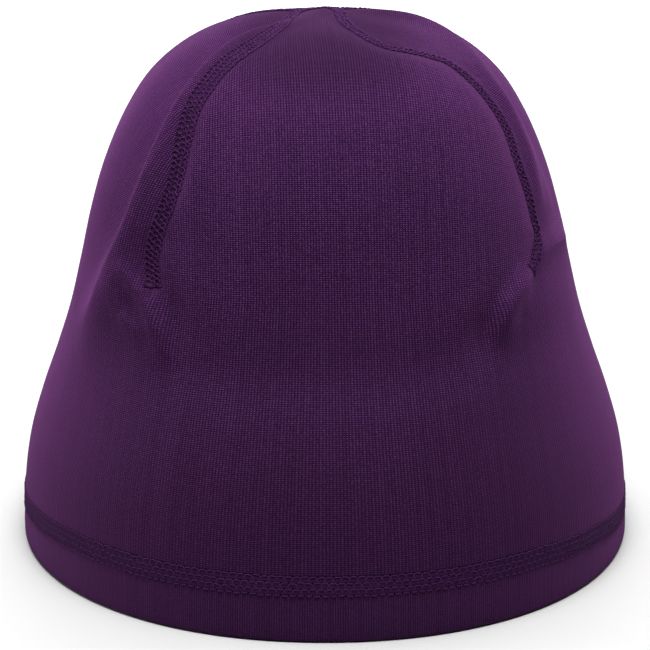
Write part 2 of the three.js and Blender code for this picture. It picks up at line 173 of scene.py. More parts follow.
# Folds and dents: climb, azimuth, rise as a share of FOLD_HEIGHT, and the spreads towards smaller
# and larger azimuths as shares of FOLD_SPREAD.
FOLDS = {
    "pleat": [
        (0.33, -60, 0.03, 1.2, 1.2), (0.4, -53, 0.4, 0.5, 1.0), (0.46, -48, 0.75, 0.4, 0.9),
        (0.53, -43.7, 0.92, 0.36, 0.8), (0.6, -41.8, 0.95, 0.34, 0.7), (0.67, -41, 0.94, 0.34, 0.6),
        (0.74, -41, 0.9, 0.34, 0.55), (0.81, -42.5, 0.75, 0.36, 0.55), (0.87, -46.5, 0.5, 0.38, 0.5),
        (0.93, -53, 0.2, 0.38, 0.5), (1, -60, 0, 0.38, 0.5),
    ],
    "pleat_hollow": [
        (0.38, -68, 0.0, 1.4, 0.7), (0.45, -61, -0.33, 1.4, 0.6), (0.53, -54, -0.67, 1.4, 0.5),
        (0.6, -51.5, -0.8, 1.4, 0.5), (0.7, -51, -0.83, 1.3, 0.5), (0.8, -54, -0.8, 1.2, 0.5),
        (0.87, -60, -0.53, 1.0, 0.5), (0.95, -70, -0.08, 0.8, 0.5),
    ],
    "top_dip": [
        (0.77, 50, -0.02, 0.8, 0.5), (0.82, 45, -0.06, 0.8, 0.5), (0.87, 36, -0.08, 0.7, 0.5),
        (0.92, 34, -0.05, 0.7, 0.45), (0.97, 46, 0, 0.7, 0.5),
    ],
    "right_roll": [
        (0.53, 56, 0, 0.3, 0.4), (0.57, 56.5, 0.2, 0.3, 0.45), (0.62, 58, 0.3, 0.3, 0.5),
        (0.68, 60, 0.32, 0.3, 0.5), (0.74, 63, 0.32, 0.35, 0.55), (0.77, 70, 0.3, 0.4, 0.55),
        (0.8, 80, 0.28, 0.5, 0.6), (0.83, 89, 0.26, 0.5, 0.6), (0.86, 97, 0.26, 0.5, 0.6),
        (0.89, 100, 0.24, 0.5, 0.6), (0.93, 100, 0.14, 0.5, 0.6), (0.96, 100, 0, 0.5, 0.5),
    ],
    "top_hollow": [
        (0.78, 62, 0, 0.5, 0.8), (0.82, 58, -0.14, 0.5, 0.8), (0.86, 51, -0.18, 0.5, 0.8),
        (0.9, 48, -0.12, 0.5, 0.8), (0.95, 52, 0, 0.5, 0.8),
    ],
    "left_ridge": [
        (0.52, -34, 0, 0.3, 0.4), (0.56, -32.8, 0.12, 0.3, 0.4), (0.62, -31.5, 0.16, 0.3, 0.4),
        (0.68, -32, 0.16, 0.3, 0.4), (0.74, -32.5, 0.14, 0.3, 0.4), (0.8, -33, 0.08, 0.35, 0.5),
        (0.86, -32, 0, 0.4, 0.5),
    ],
    "left_crease": [
        (0.485, -44.5, 0, 0.5, 0.3), (0.468, -42.5, 0.2, 0.6, 0.3), (0.454, -40.5, 0.32, 0.7, 0.3),
        (0.44, -38, 0.38, 0.8, 0.3), (0.409, -35.5, 0.34, 0.9, 0.32), (0.375, -33.5, 0.18, 0.9, 0.45),
        (0.345, -32, 0, 0.9, 0.6),
    ],
    "left_second_crease": [
        (0.455, -49, 0, 0.4, 0.4), (0.437, -46, 0.12, 0.4, 0.28), (0.409, -42, 0.15, 0.4, 0.26),
        (0.395, -38.5, 0.08, 0.4, 0.28), (0.38, -36, 0, 0.5, 0.5),
    ],
    "left_inner_dent": [
        (0.455, -34.5, -0.1, 0.4, 0.6), (0.43, -32.5, -0.26, 0.4, 0.6),
        (0.402, -30.5, -0.28, 0.45, 0.7), (0.364, -27, -0.13, 0.7, 0.8), (0.35, -22, -0.02, 1.0, 1.0),
    ],
    "left_outer_dent": [
        (0.445, -43, -0.06, 0.25, 0.25), (0.42, -39.5, -0.12, 0.25, 0.25),
        (0.395, -36.3, -0.08, 0.25, 0.25), (0.375, -34.5, 0, 0.4, 0.4),
    ],
    "right_crease": [
        (0.475, 49, 0.08, 0.3, 0.4), (0.466, 46.5, 0.18, 0.28, 0.4), (0.452, 42.7, 0.34, 0.28, 0.45),
        (0.43, 38.8, 0.4, 0.28, 0.5), (0.407, 37, 0.32, 0.3, 0.6), (0.39, 35.5, 0.12, 0.4, 0.7),
        (0.378, 34, 0, 0.5, 0.7),
    ],
    "right_inner_dent": [
        (0.45, 39, -0.06, 0.5, 0.3), (0.425, 35.8, -0.18, 0.5, 0.3), (0.403, 33.6, -0.32, 0.5, 0.3),
        (0.387, 31.5, -0.16, 0.6, 0.4), (0.37, 28, 0, 0.8, 0.6),
    ],
    "right_side_crease": [
        (0.476, 50, 0.1, 0.28, 0.28), (0.485, 53.5, 0.22, 0.26, 0.26), (0.489, 59, 0.28, 0.26, 0.28),
        (0.483, 67, 0.26, 0.3, 0.32), (0.477, 75, 0.08, 0.45, 0.45), (0.47, 81, 0, 0.5, 0.5),
    ],
    "right_outer_dent": [
        (0.5, 57, -0.08, 0.4, 0.4), (0.502, 64, -0.15, 0.4, 0.5), (0.5, 72, -0.1, 0.5, 0.5),
        (0.49, 80, 0, 0.5, 0.5),
    ],
    "waist_dent": [
        (0.352, -33, -0.03, 0.8, 0.8), (0.346, -25, -0.12, 0.8, 0.8), (0.34, -10, -0.13, 0.9, 0.9),
        (0.343, 3, -0.12, 0.9, 0.9), (0.35, 15, -0.12, 0.9, 0.9), (0.363, 23.5, -0.14, 0.8, 0.8),
        (0.38, 34, -0.14, 0.7, 0.7), (0.374, 46, -0.1, 0.7, 0.7), (0.368, 56, -0.04, 0.7, 0.7),
    ],
    "lower_swell": [
        (0.31, -30, 0, 1.2, 1.2), (0.3, -15, 0.04, 1.3, 1.3), (0.295, 3, 0.05, 1.3, 1.3),
        (0.305, 20, 0.06, 1.3, 1.3), (0.325, 35, 0.08, 1.2, 1.2), (0.335, 48, 0.06, 1, 1),
        (0.34, 58, 0, 1, 1),
    ],
    "right_hollow": [
        (0.5, 70, -0.03, 0.6, 0.9), (0.57, 71, -0.2, 0.55, 0.9), (0.64, 73, -0.3, 0.5, 0.9),
        (0.71, 76, -0.22, 0.5, 0.9), (0.78, 80, -0.03, 0.6, 0.9),
    ],
    "back_right_dent": [
        (0.45, 142, -0.1, 0.7, 0.7), (0.4, 146, -0.3, 0.9, 0.9), (0.35, 150, -0.1, 1.1, 1.1),
    ],
    "back_left_dent": [
        (0.45, -137, -0.1, 0.7, 0.7), (0.4, -141, -0.3, 0.9, 0.9), (0.35, -145, -0.1, 1.1, 1.1),
    ],
    # Sharp crests, too fine for the solid part
    "left_crease_crest": [
        (0.482, -44, 0, 0.18, 0.18), (0.468, -42.5, 0.1, 0.18, 0.16), (0.454, -40.5, 0.15, 0.18, 0.15),
        (0.44, -38, 0.16, 0.18, 0.15), (0.409, -35.5, 0.12, 0.2, 0.16), (0.363, -33, 0, 0.3, 0.3),
    ],
    "left_second_crest": [
        (0.45, -48, 0, 0.18, 0.18), (0.437, -46, 0.07, 0.18, 0.15), (0.409, -42, 0.09, 0.18, 0.15),
        (0.395, -37.5, 0, 0.2, 0.2),
    ],
    "right_crease_crest": [
        (0.474, 48.5, 0, 0.2, 0.2), (0.466, 46.5, 0.1, 0.2, 0.2), (0.452, 42.6, 0.15, 0.2, 0.22),
        (0.43, 38.7, 0.15, 0.2, 0.25), (0.405, 37, 0.08, 0.2, 0.3), (0.385, 36, 0, 0.3, 0.3),
    ],
}


# Surface of the hat


def smooth_rows(rows, share):
    """A smooth curve through a table's rows, read at shares of the way from first to last."""
    last = len(rows) - 1
    place = np.clip(share, 0, 1) * last
    i = np.minimum(np.floor(place).astype(int), last - 1)
    w = (place - i)[..., None]
    p0, p1, p2, p3 = (rows[np.clip(i + k, 0, last)] for k in (-1, 0, 1, 2))
    v1 = (p2 - p0) / 2
    v2 = (p3 - p1) / 2
    cubic = 2 * p1 - 2 * p2 + v1 + v2
    square = -3 * p1 + 3 * p2 - 2 * v1 - v2
    return ((cubic * w + square) * w + v1) * w + p1


def outline(azimuth, climb):
    """Points of the hat's outline, before folds."""
    azimuth, climb = np.broadcast_arrays(azimuth, climb)
    section = smooth_rows(SECTIONS, climb)
    column = {name: section[..., i] for name, i in SECTION.items()}
    sine = np.sin(np.radians(azimuth))
    cosine = np.cos(np.radians(azimuth))
    n = column["squareness"]
    reach = (np.abs(sine) ** n + np.abs(cosine) ** n) ** (-1 / n)
    depth = np.where(cosine > 0, column["front"], column["back"]) * HAT_DEPTH / 2
    width = column["side"] * HAT_WIDTH / 2
    middle = column["setback"] * HAT_DEPTH / 2
    ahead = middle - depth * reach * cosine
    return np.stack([width * reach * sine, ahead, column["height"] * HAT_HEIGHT], -1)


def unit(vectors):
    length = np.linalg.norm(vectors, axis=-1, keepdims=True)
    return vectors / np.maximum(length, 1e-12)


def facing(surface, azimuth, climb, turn=0.4, rise=0.003):
    """The directions that face out of a surface there."""
    around = surface(azimuth + turn, climb) - surface(azimuth - turn, climb)
    up = surface(azimuth, np.minimum(climb + rise, 1)) - surface(azimuth, np.maximum(climb - rise, 0))
    return unit(np.cross(around, up))


def groove(rows):
    """The groove that a dart's seam pulls into the cloth, as a fold. It fades out at the top point."""
    fade = np.minimum((1 - rows[:, 0]) / GROOVE_FADE, 1)
    spread = np.full(len(rows), DART_SPREAD / FOLD_SPREAD)
    return np.column_stack([rows, -DART_DEPTH / FOLD_HEIGHT * fade, spread, spread])


def fold_chain(rows):
    """A fold's rows closer together, and the points of the outline that they are at."""
    rows = np.array(rows, float)
    chain = smooth_rows(rows, np.linspace(0, 1, (len(rows) - 1) * FOLD_STEPS + 1))
    return chain, outline(chain[:, 1], chain[:, 0])


FOLD_CHAINS = [fold_chain(rows) for rows in FOLDS.values()]
FOLD_CHAINS += [fold_chain(groove(rows)) for rows in DARTS.values()]


def chain_lift(chain, knots, points, azimuth):
    """How far one fold lifts the cloth at points of the outline."""
    angle = np.radians(azimuth)
    onward = np.stack([np.cos(angle), np.sin(angle), 0 * angle], -1)
    nearest = np.full(azimuth.shape, np.inf)
    lift = np.zeros(azimuth.shape)
    for i in range(len(chain) - 1):
        run = knots[i + 1] - knots[i]
        along = np.clip((points - knots[i]) @ run / (run @ run), 0, 1)
        offset = points - knots[i] - along[..., None] * run
        distance = np.linalg.norm(offset, axis=-1)
        row = chain[i] + (chain[i + 1] - chain[i]) * along[..., None]
        ahead = (1 + (offset * onward).sum(-1) / np.maximum(distance, 1e-9)) / 2
        spread = (row[..., 3] * (1 - ahead) + row[..., 4] * ahead) * FOLD_SPREAD
        rise = row[..., 2] * FOLD_HEIGHT * np.exp(-((distance / spread) ** 2))
        lift = np.where(distance < nearest, rise, lift)
        nearest = np.minimum(nearest, distance)
    return lift


def fold_lift(points, azimuth):
    """How far all folds together lift the cloth at points of the outline."""
    lift = np.zeros(azimuth.shape)
    for chain, knots in FOLD_CHAINS:
        reach = FOLD_REACH * chain[:, 3:].max() * FOLD_SPREAD
        near = ((points > knots.min(0) - reach) & (points < knots.max(0) + reach)).all(-1)
        lift[near] += chain_lift(chain, knots, points[near], azimuth[near])
    return lift


def cloth(azimuth, climb):
    """Points of the folded cloth's outer face."""
    azimuth, climb = np.broadcast_arrays(np.asarray(azimuth, float), np.asarray(climb, float))
    points = outline(azimuth, climb)
    lift = fold_lift(points, azimuth)
    return points + facing(outline, azimuth, climb) * lift[..., None]


def climb_of_height(height):
    """The climb at which the outline reaches a height."""
    climbs = np.linspace(0, 1, HEIGHT_SAMPLES)
    heights = smooth_rows(SECTIONS, climbs)[:, SECTION["height"]] * HAT_HEIGHT
    return np.interp(height, heights, climbs)


def hem_seam_height(azimuth):
    turned = (azimuth + 180) % 360 - 180
    return np.interp(turned, HEM_LINE[:, 0], HEM_LINE[:, 1]) * HEM_HEIGHT


def dart_azimuth(name, climb):
    """A smooth reading of a dart's azimuths."""
    rows = DARTS[name]
    last = len(rows) - 1
    place = np.clip(climb, rows[0, 0], rows[last, 0])
    i = np.clip(np.searchsorted(rows[:, 0], place) - 1, 0, last - 1)
    before = np.maximum(np.arange(last + 1) - 1, 0)
    after = np.minimum(np.arange(last + 1) + 1, last)
    slope = (rows[after, 1] - rows[before, 1]) / (rows[after, 0] - rows[before, 0])
    run = rows[i + 1, 0] - rows[i, 0]
    w = (place - rows[i, 0]) / run
    start = rows[i, 1]
    rise = rows[i + 1, 1] - start
    lean = slope[i] * run
    turn = slope[i + 1] * run
    return start + lean * w + (3 * rise - 2 * lean - turn) * w ** 2 + (lean + turn - 2 * rise) * w ** 3


# Meshes


def mesh_object(name, points, faces, knit):
    """A smooth mesh object in the shared frame. The knit numbers are given for each face's corners."""
    mesh = bpy.data.meshes.new(name)
    mesh.from_pydata(points.tolist(), [], faces)
    layer = mesh.attributes.new("knit", "FLOAT_VECTOR", "CORNER")
    layer.data.foreach_set("vector", np.asarray(knit, np.float32).ravel())
    mesh.polygons.foreach_set("use_smooth", [True] * len(mesh.polygons))
    piece = bpy.data.objects.new(name, mesh)
    bpy.context.scene.collection.objects.link(piece)
    return piece


def by_corner(faces, knit):
    """The knit numbers of each face's corners, from those of the vertices."""
    return knit[np.concatenate([np.asarray(face) for face in faces])]


def closed_strips(rows, columns, first=0):
    """Faces of a closed grid of vertices, facing out when rows climb and columns turn with azimuth."""
    low = first + np.arange(rows - 1)[:, None] * columns
    i = np.arange(columns)
    j = (i + 1) % columns
    corners = np.broadcast_arrays(low + i, low + j, low + columns + j, low + columns + i)
    return np.stack(corners, -1).reshape(-1, 4)


def strip_knit(left, right):
    """The knit numbers of the same faces' corners: those at the left and right of each column."""
    corners = (left[:-1], right[:-1], right[1:], left[1:])
    return np.stack(corners, axis=2).reshape(-1, 4, 3)


# The petals between the darts: the dart at each side, the turn between them, the mesh columns and
# the azimuth of the wale that stays where it is up the whole petal.
PETALS = [
    ("front_left", "front_right", 0, 104, 4),
    ("front_right", "back_right", 0, 96, 92),
    ("back_right", "back_left", 0, 72, 182),
    ("back_left", "front_left", 360, 112, 276),
]
# How strongly the columns crowd beside the darts, as a share of their even distance
COLUMN_CROWDING = 0.6
# Rows of the crown's outer face; the inner face has one for each few of them
CROWN_ROWS = 170
LINING_STEP = 3
# Rows of each layer of the hem and of its rolled edge, and that edge's shape: 1 is round, less squarer
HEM_ROWS = 9
HEM_ROLL_FLATNESS = 0.8
# The bulge of the hem's outer layer, and the shares of its height where it starts and over which it grows
HEM_BULGE = 0.35 * MM
HEM_BULGE_TOP = 0.8
HEM_BULGE_GROWTH = 0.5
# The climb of the darts' lower ends, below which the wales keep to their azimuths
DART_END_CLIMB = 0.455


def column_azimuths(climb):
    """Azimuths of all mesh columns, which follow the darts and crowd beside them. One climb each."""
    azimuths = []
    first = 0
    for start, end, turn, count, _ in PETALS:
        share = np.arange(count) / count
        share = share - COLUMN_CROWDING * np.sin(math.tau * share) / math.tau
        own = climb[first:first + count]
        a = dart_azimuth(start, own)
        b = dart_azimuth(end, own) + turn
        azimuths.append(a + (b - a) * share)
        first += count
    return np.concatenate(azimuths)


COLUMNS = sum(petal[3] for petal in PETALS)
HEM_AZIMUTHS = column_azimuths(np.zeros(COLUMNS))
HEM_SEAM_CLIMBS = climb_of_height(hem_seam_height(HEM_AZIMUTHS))


def knit_of(rows, azimuths, climbs):
    """Wale and course numbers over the crown, and how many millimetres past a dart's seam it is,
    at the left and at the right of each mesh column. Wales run straight up each petal, and below the
    darts each keeps to its own azimuth.
    """
    ring = np.concatenate([azimuths, azimuths[:, :1] + 360], axis=1)
    step = np.linalg.norm(np.roll(rows, -1, axis=1) - rows, axis=-1)
    arc = np.concatenate([np.zeros((len(rows), 1)), np.cumsum(step, axis=1)], axis=1)
    end = int(np.flatnonzero(climbs.max(axis=1) < DART_END_CLIMB)[-1])
    pitch = arc[end, -1] / round(arc[end, -1] / WALE_PITCH)
    lower = np.interp(ring[:end], ring[end], arc[end])
    drop = np.maximum(DART_END_CLIMB - climbs, 0) * CLOTH_RISE
    sides = np.zeros((2, *rows.shape))
    first = 0
    for _, _, _, count, middle in PETALS:
        here = slice(first, first + count + 1)
        own = slice(first, first + count)
        centre = np.array([
            np.interp(middle, ring[row, here], arc[row, here]) for row in range(len(rows))
        ])
        wale = arc[:, here] - (centre - centre[end])[:, None]
        wale[:end] = lower[:, here]
        for side in (0, 1):
            sides[side, :, own, 0] = wale[:, side:count + side] / pitch
            past = arc[:, first + side:first + count + side] - arc[:, first:first + 1]
            sides[side, :, own, 2] = (past + drop[:, own]) / MM
        first += count
    sides[..., 1] = climbs * CLOTH_RISE / COURSE_PITCH
    return sides


def grid_normals(rows, top):
    """Directions facing out of a closed grid of rows whose last row meets at a top point."""
    around = np.roll(rows, -1, axis=1) - np.roll(rows, 1, axis=1)
    padded = np.concatenate([rows[:1], rows, np.broadcast_to(top, rows[:1].shape)], axis=0)
    up = padded[2:] - padded[:-2]
    return unit(np.cross(around, up))


def fan(ring, top, turned):
    """Triangles from a ring of vertices to a top point."""
    after = np.roll(ring, -1)
    tops = np.full(len(ring), top)
    return np.stack([after, ring, tops] if turned else [ring, after, tops], -1)


def crown_cloth():
    """The crown as an outer and an inner face, and the knit numbers along its lower edge."""
    share = np.arange(CROWN_ROWS)[:, None] / CROWN_ROWS
    climbs = HEM_SEAM_CLIMBS + (1 - HEM_SEAM_CLIMBS) * share
    azimuths = np.stack([column_azimuths(row) for row in climbs])
    outer = cloth(azimuths, climbs)
    top = cloth(np.zeros(1), np.ones(1))[0]
    left, right = knit_of(outer, azimuths, climbs)
    lined = np.arange(0, CROWN_ROWS, LINING_STEP)
    inner = (outer - grid_normals(outer, top) * CLOTH_THICKNESS)[lined]
    inner_top = top - (0, 0, CLOTH_THICKNESS)
    points = np.concatenate([outer.reshape(-1, 3), top[None], inner.reshape(-1, 3), inner_top[None]])
    column = np.arange(COLUMNS)
    after = np.roll(column, -1)
    apex = CROWN_ROWS * COLUMNS
    first = apex + 1
    inner_apex = first + len(lined) * COLUMNS
    inner_skin = closed_strips(len(lined), COLUMNS, first)[:, ::-1]
    rim = np.stack([first + column, first + after, after, column], -1)
    outer_cap = fan(apex - COLUMNS + column, apex, False)
    inner_cap = fan(inner_apex - COLUMNS + column, inner_apex, True)
    parts = (
        (closed_strips(CROWN_ROWS, COLUMNS), strip_knit(left, right)),
        (inner_skin, strip_knit(left[lined], right[lined])[:, ::-1]),
        (rim, np.stack([left[0], right[0], right[0], left[0]], 1)),
        (outer_cap, np.stack([left[-1], right[-1], left[-1]], 1)),
        (inner_cap, np.stack([right[-1], left[-1], left[-1]], 1)),
    )
    faces = [face for some, _ in parts for face in some.tolist()]
    knit = np.concatenate([some.reshape(-1, 3) for _, some in parts])
    return mesh_object("crown_cloth", points, faces, knit), left[0], right[0]


def hem_cloth(first_left, first_right):
    """The doubled hem: its outer layer, the rolled edge that it stands on and its inner layer."""
    rise = np.linspace(1, 0, HEM_ROWS)[:-1]
    profile = [(0.0, share, 0.0) for share in rise]
    half = HEM_THICKNESS / 2
    for angle in np.radians(np.linspace(0, 180, HEM_ROWS)):
        across = abs(np.cos(angle)) ** HEM_ROLL_FLATNESS * np.sign(np.cos(angle))
        profile.append((half - half * across, 0.0, -np.sin(angle) ** HEM_ROLL_FLATNESS))
    profile += [(HEM_THICKNESS, share, 0.0) for share in rise[::-1]]
    seam = hem_seam_height(HEM_AZIMUTHS)
    rings = []
    for inset, share, drop in profile:
        height = HEM_ROLL_RADIUS * (1 + drop) + share * (seam - HEM_ROLL_RADIUS)
        climb = climb_of_height(height)
        outward = facing(outline, HEM_AZIMUTHS, climb) * (1, 1, 0)
        growth = min(max((HEM_BULGE_TOP - share) / HEM_BULGE_GROWTH, 0), 1)
        bulge = HEM_BULGE * growth * max(1 - 2 * inset / HEM_THICKNESS, 0)
        ring = outline(HEM_AZIMUTHS, climb) + unit(outward) * (bulge - inset)
        ring[:, 2] = height
        rings.append(ring)
    rings.append(rings[0])
    rings = np.array(rings)
    lengths = np.linalg.norm(np.diff(rings, axis=0), axis=-1).mean(axis=1)
    down = np.concatenate([[0], np.cumsum(lengths)])[:, None, None]
    descent = down * (0, 1 / COURSE_PITCH, -1 / MM)
    sides = [side * (1, 1, 0) - descent for side in (first_left, first_right)]
    knit = strip_knit(*sides)[:, ::-1]
    faces = closed_strips(len(rings), COLUMNS)[:, ::-1] % ((len(rings) - 1) * COLUMNS)
    return mesh_object("hem_cloth", rings[:-1].reshape(-1, 3), faces.tolist(), knit)


# Flatlock seams


def tubes(paths, outs, radius, sides=6):
    """Closed tubes along paths of equally many points, as vertices and faces."""
    count, length, _ = paths.shape
    tangents = unit(np.gradient(paths, axis=1))
    outs = unit(outs - (outs * tangents).sum(-1, keepdims=True) * tangents)
    across = np.cross(tangents, outs)
    angles = np.arange(sides) * math.tau / sides
    ring = outs[:, :, None] * np.cos(angles)[:, None] + across[:, :, None] * np.sin(angles)[:, None]
    points = (paths[:, :, None] + ring * radius).reshape(-1, 3)
    faces = []
    for tube in range(count):
        first = tube * length * sides
        for row in range(length - 1):
            low = first + row * sides
            for i in range(sides):
                j = (i + 1) % sides
                faces.append((low + i, low + sides + i, low + sides + j, low + j))
        faces.append(tuple(first + i for i in range(sides)))
        last = first + (length - 1) * sides
        faces.append(tuple(last + i for i in reversed(range(sides))))
    return points, faces


class SeamLine:
    """A seam's line over the cloth: places on it are a way along, a way across and a height."""

    def __init__(self, azimuth, climb, width, closed=False):
        self.row_pitch = width / (SEAM_ROWS - 1)
        self.azimuth = azimuth
        self.climb = climb
        steps = np.linalg.norm(np.diff(cloth(azimuth, climb), axis=0), axis=1)
        self.along = np.concatenate([[0], np.cumsum(steps)])
        self.length = self.along[-1]
        points = outline(azimuth, climb)
        if closed:
            runs = np.roll(points[:-1], -1, axis=0) - np.roll(points[:-1], 1, axis=0)
            runs = np.concatenate([runs, runs[:1]])
        else:
            runs = np.gradient(points, axis=0)
        outs = facing(outline, azimuth, np.minimum(climb, DIRECTION_CLIMB))
        sides = unit(np.cross(runs, outs))
        self.frame = np.concatenate([points, sides], axis=1)

    def read(self, columns, along):
        """The columns' numbers at ways along the seam."""
        return np.stack([np.interp(along, self.along, column) for column in columns.T], -1)

    def place(self, along, row, height):
        """Points over the cloth and the directions facing out of it there. The row is counted from
        the first needle line and may be a share of a row.
        """
        frame = self.read(self.frame, along)
        across = (np.asarray(row) - (SEAM_ROWS - 1) / 2) * self.row_pitch
        goal = frame[..., :3] + frame[..., 3:] * across[..., None]
        azimuth = np.interp(along, self.along, self.azimuth)
        climb = np.interp(along, self.along, self.climb)
        for _ in range(PLACE_STEPS):
            section = smooth_rows(SECTIONS, climb)
            ahead = section[..., SECTION["setback"]] * HAT_DEPTH / 2 - goal[..., 1]
            depth = np.where(ahead > 0, section[..., SECTION["front"]], section[..., SECTION["back"]])
            turned = np.degrees(np.arctan2(
                goal[..., 0] / np.maximum(section[..., SECTION["side"]] * HAT_WIDTH, 1e-9),
                ahead / np.maximum(depth * HAT_DEPTH, 1e-9),
            ))
            azimuth = azimuth + (turned - azimuth + 180) % 360 - 180
            here = outline(azimuth, climb)
            low = np.maximum(climb - PLACE_CLIMB_CHANGE, 0)
            up = (here - outline(azimuth, low)) / np.maximum(climb - low, 1e-6)[..., None]
            climb = climb + ((goal - here) * up).sum(-1) / (up * up).sum(-1)
            climb = np.clip(climb, *PLACE_CLIMBS)
        out = facing(cloth, azimuth, climb, turn=0.3, rise=0.002)
        return cloth(azimuth, climb) + out * np.asarray(height)[..., None], out


# One stitch of the cover thread: shares of the stitch along, shares of the row's pitch across from
# its needle line, and height over the cloth in millimetres. It rises beside one hole, runs as a bar
# along the needle line and dives beside the next hole.
COVER_STITCH = np.array([
    (0.07, 1.0, -0.2),
    (0.05, 0.7, 0.02),
    (0.06, 0.34, 0.08),
    (0.11, 0.05, 0.14),
    (0.3, 0.0, 0.19),
    (0.5, 0.0, 0.2),
    (0.7, 0.0, 0.19),
    (0.89, 0.05, 0.14),
    (0.94, 0.34, 0.08),
    (0.95, 0.7, 0.02),
    (0.93, 1.0, -0.2),
])
# One stitch of the last needle row, which has no legs
NEEDLE_STITCH = np.array([
    (0.08, 0.02, -0.3),
    (0.17, 0.0, 0.12),
    (0.34, 0.0, 0.24),
    (0.5, 0.0, 0.27),
    (0.66, 0.0, 0.24),
    (0.83, 0.0, 0.12),
    (0.92, 0.02, -0.3),
])
# How much the stitches differ: slips along as shares of a stitch, sways and tilts across as shares of
# the rows' pitch, and lofts as shares of their height
STITCH_SLIP = 0.03
STITCH_SWAY = 0.05
STITCH_TILT = 0.08
STITCH_LOFT = 0.12
# How much higher the bars of a dart's seam lie, in millimetres
BAR_LIFT = 0.03

# The looper thread of a dart's seam coils from one needle line to the next and back: how far it
# swings along and across, as shares of a stitch and of the rows' pitch, how far it swings up and down
# and how high its middle lies
COIL_STEPS = 9
COIL_ALONG = 0.2
COIL_ACROSS = 0.46
COIL_HEIGHT = 0.14 * MM
COIL_LIFT = 0.13 * MM
# How much its turns differ, as shares of those swings and of that lift, how far they slip, as an angle
# in radians, and how far they sway, as a share of the rows' pitch
COIL_ALONG_CHANGE = 0.3
COIL_ACROSS_CHANGE = 0.22
COIL_LIFT_CHANGE = 0.3
COIL_SLIP = 0.9
COIL_SWAY = 0.12

# The bar tack at a dart's lower end: how far up the seam it is, its threads, their distance and slip,
# how many rows' pitches they reach past the needle lines, their points, the height of their middle and
# the dip of their ends in millimetres, how steeply it grows, how many half widths of the seam out it
# is full, and how far they count as raised
TACK_PLACE = 0.6 * MM
TACK_THREADS = 4
TACK_PITCH = 0.22 * MM
TACK_SLIP = 0.05 * MM
TACK_REACH = 0.8
TACK_POINTS = 16
TACK_HEIGHT = 0.2
TACK_DIP = 0.5
TACK_DIP_POWER = 6
TACK_DIP_AT = 1.53
TACK_RAISED = 0.45


class Threads:
    """The thread tubes of one seam, gathered into one mesh."""

    def __init__(self):
        self.points = []
        self.faces = []
        self.marks = []

    def add(self, paths, outs, marks, radius=THREAD_RADIUS, sides=6):
        """Threads along paths. Marks are their points' stitch and row in the seam, and how far they
        are raised off its bed.
        """
        points, faces = tubes(paths, outs, radius, sides)
        self.add_mesh(points, faces, np.repeat(marks.reshape(-1, 3), sides, axis=0))

    def add_mesh(self, points, faces, marks):
        first = sum(len(some) for some in self.points)
        self.points.append(points)
        self.faces += [tuple(first + i for i in face) for face in faces]
        self.marks.append(marks)

    def piece(self, name):
        points = np.concatenate(self.points)
        return mesh_object(name, points, self.faces, by_corner(self.faces, np.concatenate(self.marks)))


def needle_rows(threads, line, count, shapes, chance, closed):
    """The stitches that lie along the needle lines, each row half a stitch on from the last."""
    pitch = line.length / count
    for row, shape in shapes.items():
        number = count if closed else count - row % 2
        firsts = (np.arange(number) + 0.5 * (row % 2))[:, None]
        slip, sway, loft, tilt = chance.normal(0, 1, (4, number, 1))
        share = firsts + shape[:, 0] + slip * STITCH_SLIP
        across = row + shape[:, 1] + sway * STITCH_SWAY + (shape[:, 0] - 0.5) * tilt * STITCH_TILT
        height = shape[:, 2] * (1 + STITCH_LOFT * loft) * MM
        along = share * pitch
        along = along % line.length if closed else np.clip(along, 0, line.length)
        paths, outs = line.place(along, across, height)
        threads.add(paths, outs, np.stack([share, across, 1 + 0 * share], -1))


def coil_rows(threads, line, count, chance):
    """The looper threads of a dart's seam, one between each two needle lines."""
    turn = np.arange(count * COIL_STEPS) / COIL_STEPS
    stitches = np.arange(count)
    for row in range(SEAM_ROWS - 1):
        drawn = [chance.normal(0, 1, count) for _ in range(4)]
        wide, slip, loft, sway = (np.interp(turn, stitches, some) for some in drawn)
        angle = math.tau * turn + slip * COIL_SLIP
        swing = COIL_ALONG * (1 + COIL_ALONG_CHANGE * sway) * np.sin(angle)
        share = turn + 0.5 * (row % 2) + swing
        swing = COIL_ACROSS * (1 + COIL_ACROSS_CHANGE * wide) * np.cos(angle)
        across = row + 0.5 + swing + COIL_SWAY * sway
        height = COIL_LIFT * (1 + COIL_LIFT_CHANGE * loft) + COIL_HEIGHT * np.sin(angle)
        along = np.clip(share * line.length / count, 0, line.length)
        paths, outs = line.place(along, across, height)
        marks = np.stack([share, across, 1 + 0 * share], -1)
        threads.add(paths[None], outs[None], marks[None], LOOPER_RADIUS)


# The strip of looped thread that the stitches lie on: its points across, counted in rows, their height
# over the cloth, and its steps for each stitch
BED_ACROSS = np.array([-0.24, -0.16, 0.0, 0.3, 0.7, 1.1, 1.5, 1.9, 2.3, 2.7, 3.0, 3.16, 3.24])
BED_HEIGHT = np.array([-0.3, 0.0, 0.07, 0.09, 0.1, 0.1, 0.1, 0.1, 0.1, 0.09, 0.07, 0.0, -0.3]) * MM
BED_STEPS = 3


